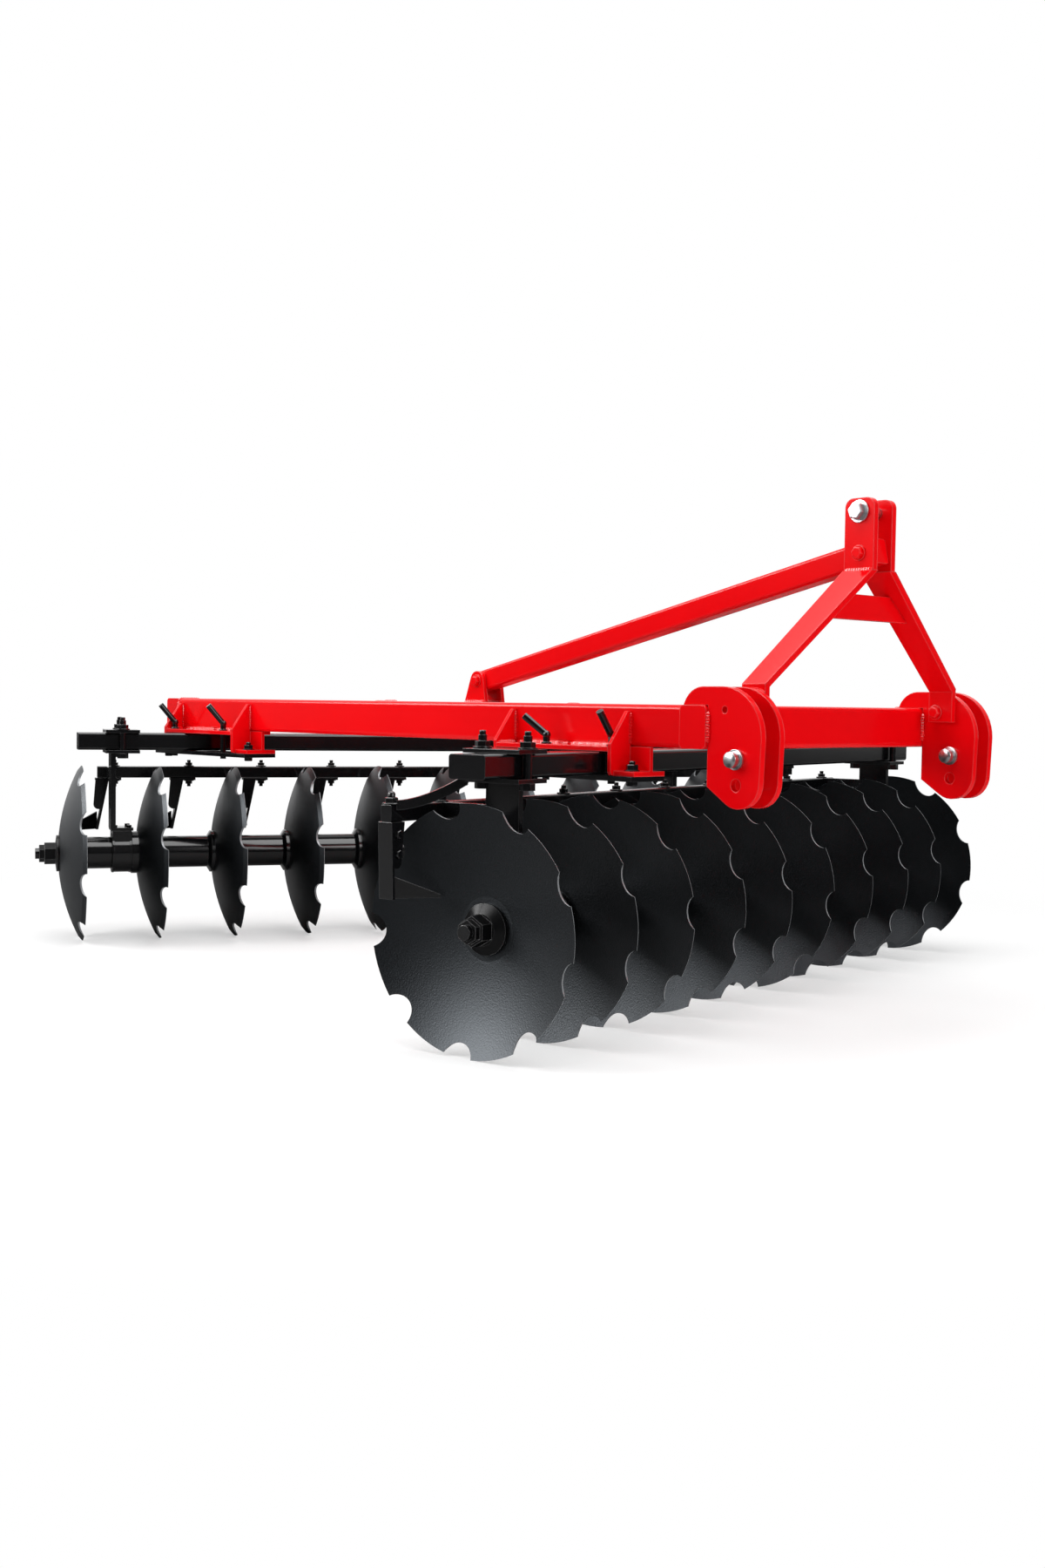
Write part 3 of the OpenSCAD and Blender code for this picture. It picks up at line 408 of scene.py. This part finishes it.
black = (0.003, 0.003, 0.0036)
# The coat group pales the black a little towards white along its edges: a painted highlight.
black_paint = coated("black_paint", black, roughness=0.16, clear_coat=0.3, ripple=0.07, per_metre=120.0,
                     edge_radius=0.0025, painted_edge_highlight=0.035)
finish_nodes(red_paint, ["bracket_flanges", "drop_legs"])
finish_nodes(black_paint, ["keeper_plates", "locking_pins", "pivot_pins"])


def black_piece(name, grid, body):
    """Hardware that is painted over in black."""
    add_piece(name, grid, black_paint, body)


leg_plate, foot_plate, foot_bolt_out, foot_bolt_along = 10, 12, 29, 45
corner_inset, flange_edge, corner_out = 4, 6, 2
flange_points = np.round(read_rows(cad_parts["bracket_flanges"].data.vertices, "co") * 1000, 2)
flange_top = flange_points[:, 2].max()
flange_right = flange_points[:, 0].max()
leg_top = node_box("drop_legs")[1][2]
keeper_low, keeper_high = node_box("keeper_plates")
foot_top = keeper_high[2] + foot_plate
foot_bolts, bracket_seams = [], []
for side, face in ((1, right_high[0]), (-1, left_low[0])):
    for end_of_machine in (1, -1):
        on_side = side * (flange_points[:, 0] - hitch_middle) > 0
        at_end = end_of_machine * flange_points[:, 1] > 0
        flange_y = flange_points[on_side & at_end, 1]
        rear_end, front_end = flange_y.min(), flange_y.max()
        middle = (rear_end + front_end) / 2
        x, z = face + side * bead_out, flange_top + corner_out
        bracket_seams.append((x, rear_end + corner_inset, z, x, middle, z))
        bracket_seams.append((x, middle, z, x, front_end - corner_inset, z))
        # Only the right flanges have legs, one at each end
        leg_ends = ((-1, rear_end), (1, front_end)) if side > 0 else ()
        for end, leg in leg_ends:
            foot_bolts.append([face + foot_bolt_out, leg + end * foot_bolt_along, foot_top])
            for y in (leg, leg + end * leg_plate):
                bracket_seams.append((face, y, flange_top + corner_inset, face, y, leg_top - corner_inset))
            z = flange_top + bead_out
            bracket_seams.append((face + corner_out, leg, z, flange_right - flange_edge, leg, z))
weld_piece("bracket_welds", bracket_seams, radius=4.8)
foot_bolts = np.array(foot_bolts)
keeper_faces = foot_bolts - [0, 0, foot_top - keeper_low[2]]
black_piece("foot_washers", turned(washer(9, 18, 3), foot_bolts, upwards), "frame")
black_piece("foot_nuts", turned(hexagon(15, 3, 16, 2), foot_bolts, upwards, sides=6), "frame")
black_piece("foot_studs", turned(stud(8, 14, 24, 2), foot_bolts, upwards), "frame")
black_piece("foot_bolt_heads", turned(hexagon(14, 0, 11, 2), keeper_faces, [0, 0, -1.0], sides=6), "frame")


# Gang beams: closed box tubes that carry the gangs, with hangers clamped under them by plates and bolts.
# All of it is put together first and then dipped in gloss black, nuts and washers too.
# Each gang has its own place, angle and hand: the first disc is on the right in front and on the left behind.
gang_y = {"front": 796.0, "rear": -800.0}
gang_angle = {"front": 11.9, "rear": -23.2}
gang_hand = {"front": 1, "rear": -1}
first_disc = {"front": 961.0, "rear": 1345.0}
gangs = ("front", "rear")
disc_pitch, axle_height = 244.0, 280.0


def on_gang(gang, points):
    """Gang coordinates (along, across, above the shaft) to the machine's: mirrored by hand, then turned."""
    c, s = np.cos(np.radians(gang_angle[gang])), np.sin(np.radians(gang_angle[gang]))
    points = np.asarray(points, float) * [gang_hand[gang], 1, 1]
    return points @ np.array([[c, s, 0], [-s, c, 0], [0, 0, 1]]) + [hitch_middle, gang_y[gang], axle_height]


def gang_way(gang, direction):
    """A direction in gang coordinates, as a direction in the machine's."""
    return on_gang(gang, [direction])[0] - on_gang(gang, [[0, 0, 0]])[0]


def hanger_places(gang):
    """Places of the two hangers along a gang: halfway between its first two discs and its last two."""
    return [first_disc[gang] - disc_pitch * (bay + 0.5) for bay in (0, 8)]


def gang_nodes(gang, *pieces):
    """Names of a gang's CAD nodes."""
    return [f"{gang}_{piece}" for piece in pieces]


clamp_top, clamp_half = 397, 63
for gang in gangs:
    finish_nodes(black_paint, gang_nodes(gang, "gang_beam", "clamps", "clamp_bolts", "hangers"))
    bolt_places = [[x, y, clamp_top] for x in hanger_places(gang) for y in (-clamp_half, clamp_half)]
    clamp_spots = on_gang(gang, bolt_places)
    black_piece(f"{gang}_clamp_washers", turned(washer(10, 22, 4), clamp_spots, upwards), f"{gang}_carrier")
    black_piece(f"{gang}_stud_ends", turned(stud(7.5, 28, 40, 1.5), clamp_spots, upwards), f"{gang}_carrier")


# Scrapers: a box-tube bar on brackets from the hangers carries a blade on an arm for each disc's hollow face.
# The arms are bolted on and painted with the bar. A cranked flat strap, bent cold, steadies the clamp of the
# end scraper, which has a heavy washer, nut and stud.
def flat_strap(path, width, thickness):
    """A flat bar along a path in mm: rings of four corners, p = path + a * level + b * (level x along)."""
    path = np.asarray(path, float)
    along = np.gradient(path, axis=0)
    along /= np.linalg.norm(along, axis=1, keepdims=True)
    level = np.cross(along, [0, 0, 1.0])
    level /= np.linalg.norm(level, axis=1, keepdims=True)
    rise = np.cross(level, along)
    a, b = np.array([(-1, -1), (-1, 1), (1, 1), (1, -1)]).T * [[thickness / 2], [width / 2]]
    rings = path[:, None] + a[:, None] * level[:, None] + b[:, None] * rise[:, None]
    closed = np.concatenate([path[:1, None].repeat(4, 1), rings, path[-1:, None].repeat(4, 1)])
    points = closed[None] / 1000
    return points, tube_quads(points.shape[:3])


# From the first disc, in gang coordinates: the strap's start and reach, the clamp's top and the lug's bolts
strap_start, strap_reach = np.array([-76, -74, 326]), np.array([122, -98, -56])
end_clamp, lug_bolts = [46, -185, 271], [[47, -165, 162], [47, -165, 206]]
end_stud = [(8.5, 15), (8.5, 24), (7, 27), (4, 29), (0, 29.5)]
strap_bend = 1.7
for gang in gangs:
    finish_nodes(black_paint, gang_nodes(gang, "scraper_brackets", "scraper_bar", "scrapers"))
    carrier = f"{gang}_carrier"
    disc_place = np.array([first_disc[gang], 0, 0])
    # Steep where it leaves the hanger's plate, level where it reaches the clamp
    run = np.linspace(0, 1, 18)
    bent = np.stack([run, run, 1 - (1 - run) ** strap_bend], -1)
    end_strap = on_gang(gang, disc_place + strap_start + strap_reach * bent)
    black_piece(f"{gang}_end_strap", flat_strap(end_strap, width=22, thickness=9), carrier)
    clamp_spot = on_gang(gang, [disc_place + end_clamp])
    black_piece(f"{gang}_end_scraper_washer", turned(eased_washer(10, 20, 4), clamp_spot, upwards), carrier)
    end_nut = turned(hexagon(16, 4, 16, 2), clamp_spot, upwards, sides=6)
    black_piece(f"{gang}_end_scraper_nut", end_nut, carrier)
    black_piece(f"{gang}_end_scraper_stud", turned(end_stud, clamp_spot, upwards), carrier)
    lug_spots = on_gang(gang, disc_place + lug_bolts)
    lug_heads = turned(hexagon(10, 0, 8.5, 1.5), lug_spots, gang_way(gang, [0, 1, 0]), sides=6)
    black_piece(f"{gang}_end_scraper_lug_bolts", lug_heads, carrier)


# Bearing housings: round iron castings that hold the shaft, each fixed to a hanger's foot by four bolts.
# Both ends have a raised rim round the seal. They are dipped in the same black with the hangers.
foot_face, foot_long, foot_across = 83, 22, 34
rim_radius, rim_rise = 62.5, 2
rim_profile = [
    (rim_radius, -31), (rim_radius + rim_rise, -30), (rim_radius + rim_rise, -24), (rim_radius, -23),
    (rim_radius, 23), (rim_radius + rim_rise, 24), (rim_radius + rim_rise, 30), (rim_radius, 31),
]
foot_holes = [[x, y, foot_face] for x in (-foot_long, foot_long) for y in (-foot_across, foot_across)]
for gang in gangs:
    finish_nodes(black_paint, gang_nodes(gang, "bearings"))
    middles = np.array([[x, 0, 0] for x in hanger_places(gang)])
    housing_spots = on_gang(gang, (middles[:, None] + foot_holes).reshape(-1, 3))
    housing_bolts = turned(hexagon(9, 0, 8, 1), housing_spots, upwards, sides=6)
    black_piece(f"{gang}_housing_bolts", housing_bolts, f"{gang}_carrier")
    housing_rims = turned(rim_profile, on_gang(gang, middles), gang_way(gang, [1, 0, 0]), sides=64)
    black_piece(f"{gang}_housing_rims", housing_rims, f"{gang}_carrier")


# Discs: plates of boron steel, pressed hollow, notched, ground at the edge and dipped in thin satin black.
# The dip leaves an orange-peel skin; the ground rim and notch edges show through it as a narrow bright line.
disc_paint = coated("disc_black", (0.0025, 0.0028, 0.0034), roughness=0.4, clear_coat=0.0, ripple=0.5,
                    per_metre=260.0, edge_radius=0.0006, cast=(0.84, 0.92, 1.0))
ground_edge = coated("ground_edge", (0.24, 0.25, 0.26), roughness=0.4, clear_coat=0.0, ripple=0.05,
                     per_metre=200.0, edge_radius=0.0004, metallic=0.4)
# In mm: the ball's middle ahead of the rim, the flat middle's radius, and where ground edges begin
ball_ahead, flat_middle, edges_from = 530.7, 75, 200
# Cosines to the shaft: a plate's faces lie above the first, a ground edge's below the second
face_slope, edge_slope = 0.8, 0.4
# Part of a pitch by which a rim may stand ahead of its disc's place
rim_ahead = 0.02


def from_shaft(points, gang):
    """Points in metres, as mm from the gang's own origin, and their distances from the line of its shaft."""
    points = points * 1000 - on_gang(gang, [[0, 0, 0]])[0]
    return points, np.linalg.norm(np.cross(points, gang_way(gang, [1, 0, 0])), axis=1)


def dish_normals(mesh, gang):
    """Smooth faces for pressed plate: n = +-(c - p) / |c - p|, with c the middle of the ball of p's disc."""
    axis = gang_way(gang, [1, 0, 0])
    corner_of = np.empty(len(mesh.loops), np.int32)
    mesh.loops.foreach_get("vertex_index", corner_of)
    points, radii = from_shaft(read_rows(mesh.vertices, "co")[corner_of], gang)
    normals = read_rows(mesh.corner_normals, "vector")
    discs_back = np.floor((first_disc[gang] - points @ axis) / disc_pitch + rim_ahead)
    ball = first_disc[gang] - discs_back * disc_pitch + ball_ahead
    to_ball = ball[:, None] * axis - points
    to_ball /= np.linalg.norm(to_ball, axis=1, keepdims=True)
    slope = normals @ axis
    on_dish = (np.abs(slope) > face_slope) & (radii > flat_middle)
    return np.where(on_dish[:, None], np.sign(slope)[:, None] * to_ball, normals)


for gang in gangs:
    finish_nodes(disc_paint, gang_nodes(gang, "discs"))
    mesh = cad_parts[f"{gang}_discs"].data.copy()
    # Normals are worked out on the separate faces, and go through the merging as an attribute of the corners
    corner_normal = mesh.attributes.new("dish_normal", "FLOAT_VECTOR", "CORNER")
    corner_normal.data.foreach_set("vector", dish_normals(mesh, gang).ravel())
    mesh.attributes.remove(mesh.attributes["custom_normal"])
    close_seams(mesh)
    mesh.normals_split_custom_set(read_rows(mesh.attributes["dish_normal"].data, "vector").tolist())
    mesh.attributes.remove(mesh.attributes["dish_normal"])
    mesh.materials.append(ground_edge)
    radii = from_shaft(read_rows(mesh.polygons, "center"), gang)[1]
    slope = read_rows(mesh.polygons, "normal") @ gang_way(gang, [1, 0, 0])
    is_edge = (np.abs(slope) < edge_slope) & (radii > edges_from)
    mesh.polygons.foreach_set("material_index", is_edge.astype(np.int32))
    pressed = bpy.data.objects.new(f"{gang}_pressed_discs", mesh)
    bpy.context.collection.objects.link(pressed)
    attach(pressed, f"{gang}_rotor")
    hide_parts(f"{gang}_discs")


# Gang shafts: square bars with cast spools between the discs, drawn up by dished washers and end nuts.
# The spools are dipped in black. The nuts are oiled, not painted, so they are duller, and their edges are
# paled towards white as a painted highlight.
nut_black = coated("oiled_nut_black", (0.003, 0.003, 0.0034), roughness=0.3, clear_coat=0.0, ripple=0.05,
                   per_metre=160.0, edge_radius=0.0022, shine=0.22, painted_edge_highlight=0.14)
for gang in gangs:
    finish_nodes(black_paint, gang_nodes(gang, "shaft", "spools"))
    finish_nodes(nut_black, gang_nodes(gang, "end_nuts"))


# Floor: a pale matt sheet that runs out of sight. To the camera it fades to white away from the machine,
# and keeps its shadow near it. In reflections it is dimmer than to the eye, so that black paint stays deep.
floor_half = 40.0
floor_mesh = bpy.data.meshes.new("floor")
floor_corners = [(x * floor_half, y * floor_half, 0) for x, y in ((-1, -1), (1, -1), (1, 1), (-1, 1))]
floor_mesh.from_pydata(floor_corners, [], [(0, 1, 2, 3)])
floor = bpy.data.objects.new("floor", floor_mesh)
bpy.context.collection.objects.link(floor)
floor_paint = bpy.data.materials.new("floor_pale")
floor_paint.use_nodes = True
floor_tree = floor_paint.node_tree
floor_shader = floor_tree.nodes["Principled BSDF"]
floor_shader.inputs["Base Color"].default_value = (0.95, 0.95, 0.95, 1.0)
floor_shader.inputs["Roughness"].default_value = 0.7
floor_shader.inputs["Specular IOR Level"].default_value = 0.2
mirrored_loss = 0.78
glow = node_of(floor_tree, "ShaderNodeEmission", {"Color": (1, 1, 1, 1), "Strength": 1.0})
spot = floor_tree.nodes.new("ShaderNodeTexCoord")
reach = node_of(floor_tree, "ShaderNodeVectorMath", operation="LENGTH")
fade = node_of(floor_tree, "ShaderNodeMapRange", {"From Min": 1.4, "From Max": 3.0, "To Min": 0.5},
               interpolation_type="SMOOTHSTEP")
seen = floor_tree.nodes.new("ShaderNodeLightPath")
shown_fade = node_of(floor_tree, "ShaderNodeMath", operation="MULTIPLY")
blend = floor_tree.nodes.new("ShaderNodeMixShader")
dark = node_of(floor_tree, "ShaderNodeEmission", {"Color": (0, 0, 0, 1), "Strength": 0.0})
dimming = node_of(floor_tree, "ShaderNodeMath", {1: mirrored_loss}, operation="MULTIPLY")
dimmed = floor_tree.nodes.new("ShaderNodeMixShader")
floor_tree.links.new(spot.outputs["Object"], reach.inputs[0])
floor_tree.links.new(reach.outputs["Value"], fade.inputs["Value"])
floor_tree.links.new(fade.outputs["Result"], shown_fade.inputs[0])
floor_tree.links.new(seen.outputs["Is Camera Ray"], shown_fade.inputs[1])
floor_tree.links.new(shown_fade.outputs["Value"], blend.inputs[0])
floor_tree.links.new(floor_shader.outputs["BSDF"], blend.inputs[1])
floor_tree.links.new(glow.outputs["Emission"], blend.inputs[2])
floor_tree.links.new(seen.outputs["Is Glossy Ray"], dimming.inputs[0])
floor_tree.links.new(dimming.outputs["Value"], dimmed.inputs[0])
floor_tree.links.new(blend.outputs["Shader"], dimmed.inputs[1])
floor_tree.links.new(dark.outputs["Emission"], dimmed.inputs[2])
floor_tree.links.new(dimmed.outputs["Shader"], floor_tree.nodes["Material Output"].inputs["Surface"])
floor_mesh.materials.append(floor_paint)


# Surround: the camera sees pure white. Reflections see a white wall beyond the machine, a dim room on the
# camera's side and a bright panel high up, to the machine's right and rear. Its other light is a weak grey.
world = bpy.data.worlds.new("studio")
bpy.context.scene.world = world
world.use_nodes = True
sky = world.node_tree
back = sky.nodes["Background"]
back.inputs["Color"].default_value = (1, 1, 1, 1)
wall_way, panel_way, room_grey = (-0.665, -0.747, 0.0), (0.76, -0.4, 0.51), 0.1
rays = sky.nodes.new("ShaderNodeLightPath")
towards = sky.nodes.new("ShaderNodeTexCoord")
wall_side = node_of(sky, "ShaderNodeVectorMath", {1: wall_way}, operation="DOT_PRODUCT")
wall = node_of(sky, "ShaderNodeMapRange", {"From Min": 0.0, "From Max": 0.9, "To Min": 0.05, "To Max": 1.0},
               interpolation_type="SMOOTHSTEP")
panel_side = node_of(sky, "ShaderNodeVectorMath", {1: panel_way}, operation="DOT_PRODUCT")
panel = node_of(sky, "ShaderNodeMapRange", {"From Min": 0.88, "From Max": 0.97, "To Max": 4.6},
                interpolation_type="SMOOTHSTEP")
bright = node_of(sky, "ShaderNodeMath", operation="ADD")
room = node_of(sky, "ShaderNodeMix", {"A": room_grey}, data_type="FLOAT")
strength = node_of(sky, "ShaderNodeMath", operation="MAXIMUM")
sky.links.new(towards.outputs["Generated"], wall_side.inputs[0])
sky.links.new(wall_side.outputs["Value"], wall.inputs["Value"])
sky.links.new(towards.outputs["Generated"], panel_side.inputs[0])
sky.links.new(panel_side.outputs["Value"], panel.inputs["Value"])
sky.links.new(wall.outputs["Result"], bright.inputs[0])
sky.links.new(panel.outputs["Result"], bright.inputs[1])
sky.links.new(rays.outputs["Is Glossy Ray"], room.inputs["Factor"])
sky.links.new(bright.outputs["Value"], room.inputs["B"])
sky.links.new(room.outputs["Result"], strength.inputs[0])
sky.links.new(rays.outputs["Is Camera Ray"], strength.inputs[1])
sky.links.new(strength.outputs["Value"], back.inputs["Strength"])


# Lamps: three soft boxes, one large overhead, one wide at the camera's left and one weaker at its right.
# They stand well clear of the machine, in metres, and their power is in watts.
def soft_lamp(name, place, aim, width, height, power):
    """A rectangular area lamp at place, its -Z turned to aim."""
    lamp = bpy.data.lights.new(name, "AREA")
    lamp.shape = "RECTANGLE"
    lamp.size = width
    lamp.size_y = height
    lamp.energy = power
    lamp_object = bpy.data.objects.new(name, lamp)
    lamp_object.location = place
    lamp_object.rotation_euler = (Vector(place) - Vector(aim)).to_track_quat("Z", "Y").to_euler()
    bpy.context.collection.objects.link(lamp_object)


soft_lamp("overhead_lamp", place=(0.5, 0.5, 5.0), aim=(0.0, 0.0, 0.0), width=5.0, height=5.0, power=330.0)
soft_lamp("left_lamp", place=(6.2, -4.7, 4.5), aim=(0.6, 0.3, 0.3), width=7.0, height=3.0, power=540.0)
soft_lamp("right_lamp", place=(0.5, 5.5, 2.5), aim=(0.0, 0.5, 0.5), width=3.0, height=3.0, power=110.0)


# Camera: level with the frame's top, ahead and to the right of the machine, as the picture was taken.
# It looks back across the machine, a little down, and is rolled by less than a degree.
camera_place = np.array([3.3638, 3.6979, 0.776])
yaw, pitch, roll = np.radians([228.3, -2.8, 0.8])
camera_data = bpy.data.cameras.new("camera")
camera_data.sensor_fit = "VERTICAL"
camera_data.sensor_height = 36.0
camera_data.lens = 37.45
camera_data.clip_end = 200.0
ahead = np.array([np.cos(yaw) * np.cos(pitch), np.sin(yaw) * np.cos(pitch), np.sin(pitch)])
level_right = np.array([np.sin(yaw), -np.cos(yaw), 0.0])
level_above = np.cross(level_right, ahead)
right = level_right * np.cos(roll) + level_above * np.sin(roll)
above = level_above * np.cos(roll) - level_right * np.sin(roll)
camera_matrix = np.eye(4)
camera_matrix[:3] = np.stack([right, above, -ahead, camera_place], axis=1)
camera = bpy.data.objects.new("camera", camera_data)
camera.matrix_world = Matrix(camera_matrix.tolist())
bpy.context.collection.objects.link(camera)
bpy.context.scene.camera = camera
bpy.context.scene.view_settings.view_transform = "Standard"
